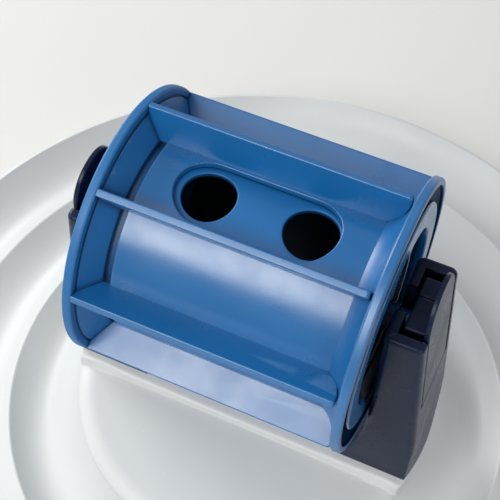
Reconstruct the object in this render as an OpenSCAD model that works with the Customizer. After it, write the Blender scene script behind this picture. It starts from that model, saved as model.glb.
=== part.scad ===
// Puzzle feeder: a finned treat drum turns between two pillars over a bowl with three feeding rings.
// The floor is z = 0, the drum's axis lies along X, and the front of the bowl faces -Y.

/* [Bowl] */
// Outer diameter of the bowl at its rim
bowl_d = 284; // [264:1:330]
// Height of the rim above the floor
rim_h = 40; // [37:0.5:46]
// Distance of the skirt's lower edge inside the rim
skirt_in = 15; // [9:0.5:20]
// Thickness of the moulded shell
shell_t = 2.6; // [2:0.1:3.4]
// Radius of the rolled rim
rim_roll = 2.5; // [1.5:0.1:4]
// How far the crests between the feeding rings lie below the rim
crest_drop = 3; // [0:0.5:5]
// Depth of the two outer feeding rings
ring_depth = 6; // [4:0.5:8]
// Depth of the inner feeding ring
trough_depth = 11; // [8:0.5:12]

/* [Hub] */
// Height of the hub's top above the rim
hub_rise = 10.5; // [8:0.5:13]
// Fall of the hub's top from its middle to its edge
hub_fall = 1.5; // [0.5:0.1:3]
// Radius of the hub's rounded edge
hub_edge = 4; // [3:0.5:6]
// Height of the plinth above the hub's top
plinth_rise = 1.5; // [1:0.1:3]
// Radius of the plinth's long upper edges
plinth_edge = 2; // [1:0.1:2.5]
// Width of the plinth before and behind the pillars' feet
plinth_margin = 3.5; // [2.5:0.1:5]
// Margin of the hub outside the pillars' feet
hub_margin = 0.4; // [0.3:0.1:2]

/* [Feet] */
// Diameter of a rubber foot's pad
foot_d = 13; // [10:0.5:16]
// Height of the pad below its post
foot_h = 2.2; // [1.5:0.1:4]
// Diameter of the plug above the pad
foot_plug_d = 6; // [4:0.5:8]
// Length of the plug
foot_plug_l = 5; // [3:0.5:8]
// Wall of the post round a foot's pad
post_wall = 1; // [0.5:0.1:2]
// Gap between a post and the skirt
post_inset = 3; // [1:0.5:6]

/* [Drum] */
// Length of the drum over its two rims
drum_l = 86.4; // [80:0.2:92]
// Outer diameter of the rims
flange_d = 85.4; // [81:0.2:96]
// Thickness of a rim
rim_t = 3; // [2:0.1:4]
// Width of a rim's face
rim_w = 4; // [3:0.1:4.5]
// Width of the step between a rim and its conical web
rim_step = 2.5; // [1.5:0.1:3]
// Length of a conical web along the axis
web_run = 5.7; // [4:0.1:7]
// Outer diameter of the barrel
barrel_d = 64.8; // [60:0.2:68]
// Wall of the barrel
barrel_t = 2.3; // [1.8:0.1:3]
// Length of the collar by which the right flange sits on the barrel
collar_l = 2.2; // [1.5:0.1:3]
// Thickness of the drum's closed end
end_t = 2.2; // [1.6:0.1:3]
// Rounding of the rims' outer edges
rim_edge = 0.8; // [0.4:0.1:1.2]

/* [Fins] */
// Thickness of a fin
fin_t = 2.3; // [1.6:0.1:3]
// Angle of the first fin from straight up, towards the front
fin_phase = -17.5; // [-20:0.5:-14]
// Radius of a fin's free outer corner
fin_corner = 2; // [1:0.1:3]

/* [Outlets] */
// Distance from the window's ends to the barrel's ends
window_end = 9.75; // [8:0.25:14]
// Width of the window round the barrel
window_w = 20.4; // [17:0.2:20.6]
// Distance from the window's ends to the centres of the outlets
outlet_end = 9.15; // [8:0.05:11]
// Diameter of an outlet
outlet_d = 16; // [10:0.2:17]
// Shift of the outlets along the axis
outlet_shift = 0.9; // [-1:0.1:1]

/* [Shutter] */
// Wall of the inner sleeve
sleeve_t = 2; // [1.5:0.1:3]
// Width of the groove between the lid and the right rim
lid_groove = 3.2; // [2:0.1:4]
// Width of the lid's raised ring
lid_ring_w = 8; // [6:0.1:9]
// Depth of the dish inside the lid's ring
dish_depth = 4; // [2:0.1:4.5]
// Thickness of the lid's plate
lid_plate_t = 2.2; // [1.6:0.1:3]
// Length of the lid's spigot inside the sleeve
spigot_l = 4; // [2:0.5:8]
// Diameter of the middle of the lid's grip ring
grip_d = 41; // [30:1:46]
// Width and height of the grip ring
grip_size = 1.2; // [0.6:0.1:2]

/* [Axle] */
// Diameter of the axle stubs where they turn in the pillars
axle_d = 7; // [6:0.1:8]
// Diameter of the axle's tip
pin_d = 5; // [4:0.1:5.4]
// Length of the tip inside its boss
pin_in = 3; // [2:0.1:3.2]
// Diameter of the drum's hubs
axle_hub_d = 10; // [9:0.5:16]
// Diameter of the stub's head inside the drum
stub_head_d = 14; // [12:0.5:18]
// Thickness of the stub's head
stub_head_t = 1.6; // [1:0.1:3]

/* [Pillars] */
// Gap between a rim of the drum and the top of its pillar
end_gap = 2.2; // [2:0.1:6]
// Gap between the drum and the plinth below it
drum_clear = 26.3; // [22:0.1:36]
// Height of a pillar's top above the drum's axis
pillar_rise = 12.3; // [9:0.1:16]
// Depth of a pillar's top along the axis
pillar_t = 10.8; // [10:0.1:13]
// Width of a pillar's top across the axis
pillar_w = 31.2; // [29:0.2:34]
// Wall of a pillar towards the drum, at its top
inner_wall = 1.9; // [1.5:0.1:2.3]
// Wall of a pillar elsewhere
pillar_wall = 2.3; // [1.8:0.1:3]
// Rounding of a pillar's upright edges
pillar_edge = 2.4; // [1.9:0.1:3]
// Rounding of the edge round a pillar's top
pillar_crown = 1.4; // [0.6:0.1:1.5]
// Slope of a pillar's outer face, in degrees
draft_out = 4.4; // [3:0.1:5]
// Slope of a pillar's front and rear faces, in degrees
draft_side = 0.25; // [0.1:0.05:1.5]
// Slope of a pillar's inner face, in degrees
draft_in = 1; // [0.5:0.1:1.3]
// Widening of the notch for the axle towards its open top
notch_flare = 0.5; // [0:0.1:4]
// Reach of the pillar's curved foot under the drum
flare_w = 9.6; // [6:0.2:14]
// Height of the curved foot
flare_h = 30; // [20:1:36]
// Thickness of the foot's toe
toe_t = 2; // [1.5:0.1:4]

/* [Release tongues] */
// Width of a tongue, which is also the diameter of its thumb tab
tongue_w = 21.6; // [20:0.2:24]
// Thickness of a tongue
tongue_t = 1.7; // [1.4:0.1:2.6]
// Depth of a tongue's root below the axis
tongue_drop = 26; // [22:0.5:32]
// Width of the slits beside a tongue
slit_w = 1.1; // [0.8:0.1:1.6]
// Width of the boss that holds the axle's tip
boss_w = 18.8; // [16:0.2:19]
// Depth of the boss below the axis
boss_below = 8; // [6:0.5:12]
// Depth of the boss's top below the pillar's top
boss_sink = 0.5; // [0.2:0.1:2]
// Gap between the boss and the pillar's inner wall
boss_gap = 0.9; // [0.7:0.1:1.4]
// Width of the guide saddle across the boss's top
saddle_w = 4.9; // [4:0.1:6]
// Depth of the guide saddle
saddle_depth = 1; // [0.5:0.1:2]
// Diameter of the blind hole for the axle's tip
pin_hole_d = 6.8; // [6.6:0.1:7.4]

/* [Screws] */
// Shank diameter of a pillar screw
screw_d = 3; // [2.5:0.1:4]
// Length of a screw below its head
screw_l = 14; // [10:1:18]
// Diameter of a screw's head
screw_head_d = 6; // [5:0.1:8]
// Height of a screw's head
screw_head_h = 2.2; // [1.6:0.1:3]
// Wall of the screw boss in a pillar
screw_boss_wall = 2.6; // [2:0.1:3.5]
// Distance of the screws from the drum's axis, to the front and rear
screw_y = 11; // [9:0.5:11.5]

/* [Hidden] */
$fn = 96;
hull_fn = 32;

// Clearances
run_fit = 0.1;
axle_fit = 0.05;
seat_fit = 0.02;
face_gap = 0.2;
fin_fit = 0.05;
hinge_fit = 0.1;
screw_fit = 0.05;
screw_hole_fit = 0.2;
hub_gap = 1;
neck_over = 0.5;
pin_hole_drop = 0.5;
pin_hole_over = 1.5;
lid_gap = 0.7;

// Small fixed shapes
past = 1;
slice = 0.1;
profile_steps = 12;
arc_steps = 6;
crown_steps = 4;
crest_flat = 0.05;
crest_round = 0.35;
knuckle_in = 0.05;
root_gap = 0.5;
pocket_floor_t = 3;
collar_lip = 0.5;
rim_back = 1;
pin_chamfer = 0.6;
recess_w = 0.9;
recess_depth = 1.1;
feet = 6;
fins = 8;
rings = 3;

// Heights
hub_h = rim_h + hub_rise;
plinth_top = hub_h + plinth_rise;
axis_h = plinth_top + flange_d / 2 + drum_clear;
pillar_top = axis_h + pillar_rise;
pillar_h = pillar_top - plinth_top;
hinge_z = axis_h - tongue_drop;
boss_top = pillar_top - boss_sink;

// Places along the drum's axis, measured from its middle
drum_end = drum_l / 2;
barrel_end = drum_end - rim_t - web_run;
collar_end = barrel_end + collar_l;
lid_start = collar_end + face_gap;
dish_x = drum_end - dish_depth;
web_back = drum_end - rim_back;
x_in_top = drum_end + end_gap;
x_out_top = x_in_top + pillar_t;
hub_end = x_in_top - hub_gap;
pocket_x = x_in_top + inner_wall;
neck_end = pocket_x + neck_over;
boss_x = pocket_x + boss_gap;
pin_end = boss_x + pin_in;

// Radii
bowl_r = bowl_d / 2;
skirt_r = bowl_r - skirt_in;
flange_r = flange_d / 2;
barrel_r = barrel_d / 2;
web_r = flange_r - rim_step;
sleeve_r = barrel_r - barrel_t - run_fit;
lid_r = flange_r - rim_w - lid_groove;
lid_back_r = min(barrel_r - lid_gap, lid_r - rim_edge);
foot_r = x_out(pillar_h);
hub_r = foot_r + hub_margin;
plinth_y = y_half(pillar_h) + plinth_margin;
post_r = foot_d / 2 + post_wall;
feet_r = skirt_r - shell_t - post_inset - post_r;

// Tongue places
knuckle_r = tongue_t / 2 - knuckle_in;
x_hinge = x_out(pillar_top - hinge_z) - tongue_t / 2 / cos(draft_out);
x_tongue = x_out(pillar_rise) - tongue_t / 2 / cos(draft_out);
tab_rise = (pillar_top - hinge_z) / cos(draft_out);
pocket_w = tongue_w + 2 * slit_w;

// Screw places
screw_x = (x_in(pillar_h) + foot_r) / 2;
screw_z = plinth_top - shell_t;

// Outlet places
window_l = 2 * (barrel_end - window_end);
outlet_pitch = window_l - 2 * outlet_end;
cell_angle = fin_phase + 180 / fins;

plastic_grey = "#dfe3e8";
plastic_blue = "#2f6fae";
plastic_navy = "#202a3c";
rubber_grey = "#4a4d52";
steel_grey = "#b4b8bc";

// Faces of a pillar, at a depth below its top
function x_in(depth) = x_in_top - depth * tan(draft_in);
function x_out(depth) = x_out_top + depth * tan(draft_out);
function y_half(depth) = pillar_w / 2 + depth * tan(draft_side);

// Crests of the bowl, as [radius, height], from the hub outwards
hub_foot = [hub_r, hub_h - hub_fall - hub_edge];
function crest(i) =
    i == 0 ? hub_foot :
    i == rings ? [bowl_r - rim_roll, rim_h] :
    [hub_r + i * (bowl_r - rim_roll - hub_r) / rings, rim_h - crest_drop];
function ring_sag(i) = i == 0 ? trough_depth : ring_depth;

// A feeding ring: a parabola hung between two crests
function ring_point(i, u) =
    let (a = crest(i), b = crest(i + 1))
    [a.x + (b.x - a.x) * u, a.y + (b.y - a.y) * u - ring_sag(i) * 4 * u * (1 - u)];
function ring_points(i) = [
    for (k = [0 : profile_steps])
    let (u = crest_flat + (1 - 2 * crest_flat) * k / profile_steps)
    ring_point(i, u)
];

function arc(centre, radius, from, to) = [
    for (k = [0 : arc_steps])
    let (a = from + (to - from) * k / arc_steps)
    centre + radius * [cos(a), sin(a)]
];

// The dish from the inner ring outwards, with blunt crests
dish_points = [
    for (i = [0 : rings - 1]) each concat(
        ring_points(i),
        i < rings - 1 ? [crest(i + 1) - [0, crest_round]] : [])
];
hub_centre = hub_foot - [hub_edge, 0];
skirt_foot = [skirt_r, foot_h / 2];
rim_centre = [bowl_r - rim_roll, rim_h - rim_roll];
lowered = [0, -shell_t];
shell_profile = concat(
    [[0, hub_h]],
    arc(hub_centre, hub_edge, 90, 0),
    dish_points,
    arc(rim_centre, rim_roll, 90, 0),
    [skirt_foot, skirt_foot - [shell_t, 0], rim_centre - [shell_t, shell_t]],
    [for (i = [len(dish_points) - 1 : -1 : 0]) dish_points[i] + lowered],
    arc(hub_centre, hub_edge - shell_t, 0, 90),
    [[0, hub_h - shell_t]]
);
// Space under the dish that the feet's posts fill
post_profile = concat(
    [[0, foot_h], [0, hub_foot.y], hub_foot + lowered / 2],
    [for (p = dish_points) p + lowered / 2],
    [[bowl_r - rim_roll, foot_h]]
);

// Turns a profile of [radius, place along the axis] round the drum's axis
module turned(profile) translate([0, 0, axis_h]) rotate([0, 90, 0]) rotate_extrude() polygon(profile);

// Places a shape that stands on the drum's axis at an angle from straight up, towards the front
module on_drum(angle) translate([0, 0, axis_h]) rotate([angle, 0, 0]) children();

module left_side() mirror([1, 0, 0]) children();

// Stretch of the hub's band between the pillars, lowered and drawn in by the given amounts
module plinth_band(lower, inset) {
    half = plinth_y - inset;
    top = plinth_top - lower;
    intersection() {
        rotate([90, 0, 90]) linear_extrude(2 * hub_r, center = true) polygon(concat(
            [[-half, hub_h - hub_fall - hub_edge], [half, hub_h - hub_fall - hub_edge]],
            arc([half - plinth_edge, top - plinth_edge], plinth_edge, 0, 90),
            arc([-half + plinth_edge, top - plinth_edge], plinth_edge, 90, 180)));
        cylinder(r = hub_r - inset, h = top + past);
    }
}

module at_foot(k) rotate((k - 0.5) * 360 / feet) translate([feet_r, 0, 0]) children();

module at_feet() for (k = [1 : feet]) at_foot(k) children();

module at_screws() for (side = [-1, 1]) translate([screw_x, side * screw_y, 0]) children();

module screw_holes() at_screws() translate([0, 0, screw_z - past])
    cylinder(d = screw_d + 2 * screw_hole_fit, h = shell_t + 2 * past);

module bowl() color(plastic_grey) difference() {
    union() {
        difference() {
            union() {
                rotate_extrude() polygon(shell_profile);
                plinth_band(0, 0);
            }
            plinth_band(shell_t, shell_t);
        }
        intersection() {
            at_feet() translate([0, 0, foot_h]) cylinder(r = post_r, h = rim_h);
            rotate_extrude() polygon(post_profile);
        }
    }
    at_feet() cylinder(d = foot_plug_d + 2 * seat_fit, h = foot_h + foot_plug_l + past);
    screw_holes();
    left_side() screw_holes();
}

module rubber_foot(k) color(rubber_grey) at_foot(k) rotate_extrude() polygon([
    [0, 0], [foot_d / 2 - foot_h / 4, 0], [foot_d / 2, foot_h / 4], [foot_d / 2, foot_h],
    [foot_plug_d / 2, foot_h], [foot_plug_d / 2, foot_h + foot_plug_l], [0, foot_h + foot_plug_l]
]);

// Tapered tower with rounded upright edges, between two depths below the pillar's top; its top edge is
// drawn in along a quarter circle, the crown
module tower(inset, from, to, crown = 0) {
    top = [for (k = [0 : crown > 0 ? crown_steps : 0])
        let (a = 90 * k / crown_steps)
        [from + crown * (1 - sin(a)), inset + crown * (1 - cos(a))]];
    hull() for (level = concat(top, [[to - slice, inset]]), side = [-1, 1]) {
        depth = level[0];
        r = max(pillar_edge - level[1], slice);
        y = side * (y_half(depth) - level[1] - r);
        for (x = [x_in(depth) + level[1] + r, x_out(depth) - level[1] - r])
            translate([x, y, pillar_top - depth - slice]) cylinder(r = r, h = slice, $fn = hull_fn);
    }
}

// The foot's hollow curve under the drum: a quarter of an ellipse
module foot_flare() {
    x0 = x_in(pillar_h);
    z0 = plinth_top + toe_t;
    outline = concat(
        [[x0 + pillar_wall, plinth_top], [x0 - flare_w, plinth_top]],
        [for (k = [0 : profile_steps])
            let (a = 90 * k / profile_steps)
            [x0 - flare_w * (1 - sin(a)), z0 + flare_h * (1 - cos(a))]],
        [[x0 + pillar_wall, z0 + flare_h]]
    );
    intersection() {
        rotate([90, 0, 0]) linear_extrude(2 * plinth_y, center = true) polygon(outline);
        rotate([90, 0, 90]) linear_extrude(2 * foot_r, center = true) polygon([
            [-y_half(pillar_h), plinth_top], [y_half(pillar_h), plinth_top],
            [y_half(0), pillar_top], [-y_half(0), pillar_top]
        ]);
    }
}

module axle_notch() {
    r = axle_d / 2 + axle_fit;
    mouth = r + notch_flare / 2;
    translate([x_in_top - flare_w, 0, axis_h]) {
        rotate([0, 90, 0]) cylinder(r = r, h = flare_w + inner_wall + past);
        rotate([90, 0, 90]) linear_extrude(flare_w + inner_wall + past) polygon([
            [-r, 0], [r, 0], [mouth, pillar_rise + past], [-mouth, pillar_rise + past]
        ]);
    }
}

module pillar() color(plastic_navy) difference() {
    union() {
        difference() {
            intersection() {
                union() {
                    tower(0, 0, pillar_h, pillar_crown);
                    foot_flare();
                }
                translate([0, 0, plinth_top]) cylinder(r = foot_r, h = pillar_h + past);
            }
            tower(pillar_wall, pillar_top - hinge_z + pocket_floor_t, pillar_h + past);
            translate([pocket_x, -pocket_w / 2, hinge_z]) cube([foot_r, pocket_w, pillar_h]);
            translate([x_hinge, 0, hinge_z]) rotate([90, 0, 0])
                cylinder(r = knuckle_r + hinge_fit, h = pocket_w, center = true);
            axle_notch();
        }
        at_screws() translate([0, 0, plinth_top])
            cylinder(d = screw_d + 2 * screw_boss_wall, h = screw_l);
    }
    at_screws() translate([0, 0, plinth_top - past]) cylinder(d = screw_d + 2 * screw_fit, h = screw_l);
}

module tongue() color(plastic_navy) difference() {
    union() {
        translate([x_hinge, 0, hinge_z]) rotate([0, -draft_out, 0]) {
            rotate([90, 0, 90]) linear_extrude(tongue_t, center = true) {
                translate([-tongue_w / 2, root_gap]) square([tongue_w, tab_rise - root_gap]);
                translate([0, tab_rise]) circle(d = tongue_w);
            }
            rotate([90, 0, 0]) cylinder(r = knuckle_r, h = tongue_w, center = true);
            translate([-knuckle_r, -tongue_w / 2, 0]) cube([2 * knuckle_r, tongue_w, 2 * root_gap]);
        }
        translate([boss_x, -boss_w / 2, axis_h - boss_below])
            cube([x_tongue - boss_x, boss_w, boss_top - axis_h + boss_below]);
    }
    translate([boss_x - past, -saddle_w / 2, boss_top - saddle_depth])
        cube([x_out_top - tongue_t - boss_x + past, saddle_w, saddle_depth + past]);
    translate([boss_x - past, 0, axis_h - pin_hole_drop]) rotate([0, 90, 0])
        cylinder(d = pin_hole_d, h = past + pin_in + pin_hole_over);
}

module pillar_screws() color(steel_grey) at_screws() translate([0, 0, screw_z]) difference() {
    union() {
        cylinder(d = screw_d, h = screw_l);
        translate([0, 0, -screw_head_h]) cylinder(d = screw_head_d, h = screw_head_h);
    }
    for (turn = [0, 90]) rotate(turn) translate([0, 0, -screw_head_h])
        cube([screw_d, recess_w, 2 * recess_depth], center = true);
}

// The barrel's wall with its long window, whose ends are round
module drum_barrel() color(plastic_blue) difference() {
    turned([
        [barrel_r - barrel_t, -barrel_end], [barrel_r, -barrel_end],
        [barrel_r, collar_end], [barrel_r - barrel_t, collar_end]
    ]);
    on_drum(cell_angle) {
        span = window_l - window_w;
        for (side = [-1, 1]) translate([side * span / 2, 0, 0]) cylinder(d = window_w, h = flange_r);
        translate([-span / 2, -window_w / 2, 0]) cube([span, window_w, flange_r]);
    }
}

// A rim's section from its conical web to its outer face, with rounded edges
rim_section = concat(
    [[web_r, barrel_end + web_run]],
    arc([flange_r - rim_edge, drum_end - rim_t + rim_edge], rim_edge, -90, 0),
    arc([flange_r - rim_edge, drum_end - rim_edge], rim_edge, 0, 90),
    [[flange_r - rim_w, drum_end], [flange_r - rim_w, web_back]]
);

module left_flange() color(plastic_blue) left_side() turned(concat(
    [[axle_d / 2 + seat_fit, barrel_end], [barrel_r, barrel_end]],
    rim_section,
    [
        [barrel_r - barrel_t, barrel_end + end_t], [axle_hub_d / 2, barrel_end + end_t],
        [axle_hub_d / 2, hub_end], [axle_d / 2 + seat_fit, hub_end]
    ]
));

module right_flange() color(plastic_blue) turned(concat(
    [[barrel_r + seat_fit, barrel_end], [barrel_r + seat_fit + collar_lip, barrel_end]],
    rim_section,
    [[barrel_r + seat_fit, collar_end]]
));

// A fin between the flanges, cut back along both webs, with a round free corner at the right
module fin(k) color(plastic_blue) on_drum(fin_phase + (k - 1) * 360 / fins)
    rotate([90, 0, 0]) linear_extrude(fin_t, center = true) {
        low = barrel_r + fin_fit;
        high = flange_r - fin_fit;
        left = -(barrel_end + web_run) + fin_fit;
        right = -left;
        lean = web_run * fin_fit / (web_r - barrel_r) + fin_fit;
        polygon(concat(
            [[-barrel_end + lean, low], [barrel_end - lean - collar_lip, low]],
            [[right, web_r]],
            arc([right - fin_corner, high - fin_corner], fin_corner, 0, 90),
            [[left, high], [left, web_r]]
        ));
    }

// A stub: its head lies inside the drum, its neck turns in the pillar's notch and its tip in the boss
module axle_stub(seat) color(plastic_blue) turned([
    [0, seat - stub_head_t], [stub_head_d / 2, seat - stub_head_t], [stub_head_d / 2, seat],
    [axle_d / 2, seat], [axle_d / 2, neck_end], [pin_d / 2, neck_end],
    [pin_d / 2, pin_end - pin_chamfer], [pin_d / 2 - pin_chamfer, pin_end], [0, pin_end]
]);

module shutter_sleeve() color(plastic_blue) difference() {
    turned([
        [sleeve_r - sleeve_t, -barrel_end + face_gap], [sleeve_r, -barrel_end + face_gap],
        [sleeve_r, lid_start], [sleeve_r - sleeve_t, lid_start]
    ]);
    on_drum(cell_angle) for (side = [-1, 1])
        translate([outlet_shift + side * outlet_pitch / 2, 0, 0]) cylinder(d = outlet_d, h = flange_r);
}

module end_lid() {
    spigot_r = sleeve_r - sleeve_t - seat_fit;
    ring_in = lid_r - lid_ring_w;
    grip_r = grip_d / 2;
    back_lean = (web_back - collar_end) / (flange_r - rim_w - barrel_r);
    color(plastic_blue) turned(concat(
        [[axle_d / 2 + seat_fit, dish_x - lid_plate_t], [spigot_r - sleeve_t, dish_x - lid_plate_t]],
        [[spigot_r - sleeve_t, lid_start - spigot_l], [spigot_r, lid_start - spigot_l]],
        [[spigot_r, lid_start], [lid_back_r, lid_start]],
        [[lid_r, lid_start + (lid_r - lid_back_r) * back_lean]],
        arc([lid_r - rim_edge, drum_end - rim_edge], rim_edge, 0, 90),
        [[ring_in, drum_end], [ring_in - rim_edge, dish_x]],
        [[grip_r + grip_size / 2, dish_x], [grip_r + grip_size / 2, dish_x + grip_size]],
        [[grip_r - grip_size / 2, dish_x + grip_size], [grip_r - grip_size / 2, dish_x]],
        [[axle_hub_d / 2, dish_x], [axle_hub_d / 2, hub_end], [axle_d / 2 + seat_fit, hub_end]]
    ));
}

bowl();
rubber_foot(1);  // rubber_foot_1
rubber_foot(2);  // rubber_foot_2
rubber_foot(3);  // rubber_foot_3
rubber_foot(4);  // rubber_foot_4
rubber_foot(5);  // rubber_foot_5
rubber_foot(6);  // rubber_foot_6
left_side() pillar();  // left_pillar
pillar();  // right_pillar
left_side() tongue();  // left_tongue
tongue();  // right_tongue
left_side() pillar_screws();  // left_pillar_screws
pillar_screws();  // right_pillar_screws
drum_barrel();
left_flange();
right_flange();
fin(1);  // fin_1
fin(2);  // fin_2
fin(3);  // fin_3
fin(4);  // fin_4
fin(5);  // fin_5
fin(6);  // fin_6
fin(7);  // fin_7
fin(8);  // fin_8
left_side() axle_stub(barrel_end);  // left_axle_stub
axle_stub(dish_x - lid_plate_t);  // right_axle_stub
shutter_sleeve();
end_lid();
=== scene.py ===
import math

import bmesh
import bpy
import numpy as np
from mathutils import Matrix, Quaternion, Vector


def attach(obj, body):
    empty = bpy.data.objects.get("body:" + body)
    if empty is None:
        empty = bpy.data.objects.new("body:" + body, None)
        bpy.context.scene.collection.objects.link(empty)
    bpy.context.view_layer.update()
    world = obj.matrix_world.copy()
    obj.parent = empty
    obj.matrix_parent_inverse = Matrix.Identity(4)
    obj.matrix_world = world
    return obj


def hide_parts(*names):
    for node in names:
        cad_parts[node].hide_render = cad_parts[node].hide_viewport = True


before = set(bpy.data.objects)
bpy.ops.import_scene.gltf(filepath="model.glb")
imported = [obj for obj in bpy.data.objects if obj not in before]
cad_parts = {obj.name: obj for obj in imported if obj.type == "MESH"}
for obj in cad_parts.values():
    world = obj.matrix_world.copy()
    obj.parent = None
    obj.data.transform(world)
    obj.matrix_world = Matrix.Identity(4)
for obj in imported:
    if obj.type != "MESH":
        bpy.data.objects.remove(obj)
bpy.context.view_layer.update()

mm = 0.001
axisHeight = 121.0  # height of the drum's axis, in mm; all sizes below are in mm
turn = 2 * np.pi
quarterTurn = np.pi / 2
hair = 1e-9  # keeps a divisor from being zero
least = 1e-6  # least angle or width to divide by
leastRadius = 0.02
faceLoops = (0.25, 0.7)  # more loops on a plate's faces, this far inside its rounded edge
weld = {"join": 2e-6, "sliver": 1e-7}  # in metres


# Corner geometry of an outline: unit directions to both neighbours and half of the angle between them.
def corners(points, closed):
    p = np.asarray(points, float)
    back = np.roll(p, 1, 0) - p
    ahead = np.roll(p, -1, 0) - p
    if not closed:
        back[0] = -ahead[0]
        ahead[-1] = -back[-1]
    back /= np.linalg.norm(back, axis=1, keepdims=True)
    ahead /= np.linalg.norm(ahead, axis=1, keepdims=True)
    half = np.arccos(np.clip((back * ahead).sum(1), -1, 1)) / 2
    return p, back, ahead, half


# Rounds an outline: each corner becomes an arc that touches both of its sides, given by turning
# the first touching point about the arc's centre into the second one.
def rounded(points, radii, steps=8, closed=True):
    p, back, ahead, half = corners(points, closed)
    r = np.broadcast_to(np.asarray(radii, float), len(p))
    reach = np.where(r > 0, r / np.maximum(np.tan(half), hair), 0)
    middle = back + ahead
    size = np.linalg.norm(middle, axis=1)
    centre = p + middle * (r / np.maximum(np.sin(half) * size, hair))[:, None]
    first = p + back * reach[:, None] - centre
    last = p + ahead * reach[:, None] - centre
    sweep = np.maximum(np.pi - 2 * half, least)[:, None, None]
    t = np.linspace(0, 1, steps)[None, :, None]
    arc = np.sin((1 - t) * sweep) * first[:, None] + np.sin(t * sweep) * last[:, None]
    return (centre[:, None] + arc / np.sin(np.minimum(sweep, np.pi - least))).reshape(-1, 2)


# Draws an outline in: each corner moves along the middle of its angle until both sides have moved
# by the amount.
def drawnIn(points, amount):
    p, back, ahead, half = corners(points, True)
    middle = back + ahead
    # plus where the corner points outwards
    side = np.sign(back[:, 1] * ahead[:, 0] - back[:, 0] * ahead[:, 1])
    return p + middle / np.linalg.norm(middle, axis=1)[:, None] * (side * amount / np.sin(half))[:, None]


# A plate with rounded edges, in its own (across, along, thick) places: the outline is drawn in along a
# quarter circle towards each face, and each face closes on the outline's middle.
def plate(points, radii, thick, edge, steps=8, edgeSteps=4):
    a = np.linspace(0, quarterTurn, edgeSteps + 1)
    half = np.concatenate([edge * (1 - np.cos(a)), edge + np.array(faceLoops)])
    rise = thick / 2 - edge + edge * np.concatenate([np.sin(a), [1] * len(faceLoops)])
    amounts = np.concatenate([half[::-1], half])
    levels = np.concatenate([rise[::-1], -rise])
    radii = np.broadcast_to(np.asarray(radii, float), len(points))
    loops = [rounded(drawnIn(points, d), np.maximum(radii - d, leastRadius), steps) for d in amounts]
    rows = [np.column_stack([loop, np.full(len(loop), z)]) for loop, z in zip(loops, levels)]
    return capped(np.stack(rows))


# Length of a path from its start to each of its points: the running sum of its steps.
def runLength(path):
    return np.concatenate([[0], np.cumsum(np.linalg.norm(np.diff(path, axis=0), axis=1))])


# Points of a path at given lengths from its start, straight between its own points.
def alongPath(path, length, places):
    return np.column_stack([np.interp(places, length, path[:, k]) for k in (0, 1)])


# Adds places along an outline's long stretches, at even steps of its length.
def denser(outline, step=1.1, closed=True):
    path = np.concatenate([outline, outline[:1]]) if closed else np.asarray(outline)
    length = runLength(path)
    finer = alongPath(path, length, np.union1d(length, np.arange(0, length[-1], step)))
    return finer[:-1] if closed else finer


# Closes both ends of a carried outline on the middle of its end.
def capped(rows):
    first = rows[:1].mean(1, keepdims=True)
    last = rows[-1:].mean(1, keepdims=True)
    wide = np.ones((1, rows.shape[1], 1))
    return np.concatenate([first * wide, rows, last * wide])


# Turns an outline of (radius, height) pairs about the upright line through the origin.
def turnedUp(outline, angles):
    r, z = np.asarray(outline, float).T[:, :, None]
    return np.stack([r * np.cos(angles), r * np.sin(angles), z + 0 * angles], -1)


# A point on the drum: along the axis, at a radius, and at an angle from straight up towards the front.
def onDrum(along, radius, angle):
    along, radius, angle = np.broadcast_arrays(along, radius, angle)
    return np.stack([along, -radius * np.sin(angle), axisHeight + radius * np.cos(angle)], -1)


# Turns an outline of (radius, place along the axis) pairs about the drum's axis.
def turnedDrum(outline, count=192):
    r, x = np.asarray(outline, float).T[:, :, None]
    return onDrum(x, r, np.linspace(0, turn, count, endpoint=False)[None])


# Quads between the neighbours of a grid; a wrapped grid closes on itself in that direction.
def gridQuads(rows, cols, wrapRows, wrapCols):
    lastRow = rows if wrapRows else rows - 1
    lastCol = cols if wrapCols else cols - 1
    i, j = np.meshgrid(np.arange(lastRow), np.arange(lastCol), indexing="ij")
    down = (i + 1) % rows
    beside = (j + 1) % cols
    quads = [i * cols + j, down * cols + j, down * cols + beside, i * cols + beside]
    return np.stack(quads, -1).reshape(-1, 4)


# Puts grids of points into one mesh, welds the edges that they share and turns the faces outwards.
def makePiece(name, sheets, body, nodes, material, sharp=32):
    points, quads, start = [], [], 0
    for grid, wrapRows, wrapCols in sheets:
        points.append(grid.reshape(-1, 3))
        quads.append(gridQuads(grid.shape[0], grid.shape[1], wrapRows, wrapCols) + start)
        start += grid.shape[0] * grid.shape[1]
    mesh = bpy.data.meshes.new(name)
    mesh.from_pydata(np.concatenate(points) * mm, [], np.concatenate(quads).tolist())
    work = bmesh.new()
    work.from_mesh(mesh)
    bmesh.ops.remove_doubles(work, verts=work.verts, dist=weld["join"])
    bmesh.ops.dissolve_degenerate(work, edges=work.edges, dist=weld["sliver"])
    bmesh.ops.recalc_face_normals(work, faces=work.faces)
    work.to_mesh(mesh)
    work.free()
    mesh.shade_smooth()
    mesh.set_sharp_from_angle(angle=math.radians(sharp))
    mesh.materials.append(material)
    piece = bpy.data.objects.new(name, mesh)
    bpy.context.scene.collection.objects.link(piece)
    shade = piece.modifiers.new("shade", "WEIGHTED_NORMAL")  # wide faces stay flat beside rounded edges
    shade.keep_sharp = True
    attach(piece, body)
    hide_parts(*nodes)
    print("made", name, len(mesh.polygons), "faces")
    return piece


# Plastics: the spans of noise, edge and cell values between which each effect sets in, and the depth of
# the grain; lengths in the looks are in metres
plasticSpans = {
    "tone": (0.3, 0.7), "edge": (0.52, 0.62), "rub": (0.35, 0.6), "dot": (0.2, 0.1), "rare": (0.93, 0.96),
    "polish": (0.3, 0.7), "grainDepth": 0.0002,
}


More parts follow.
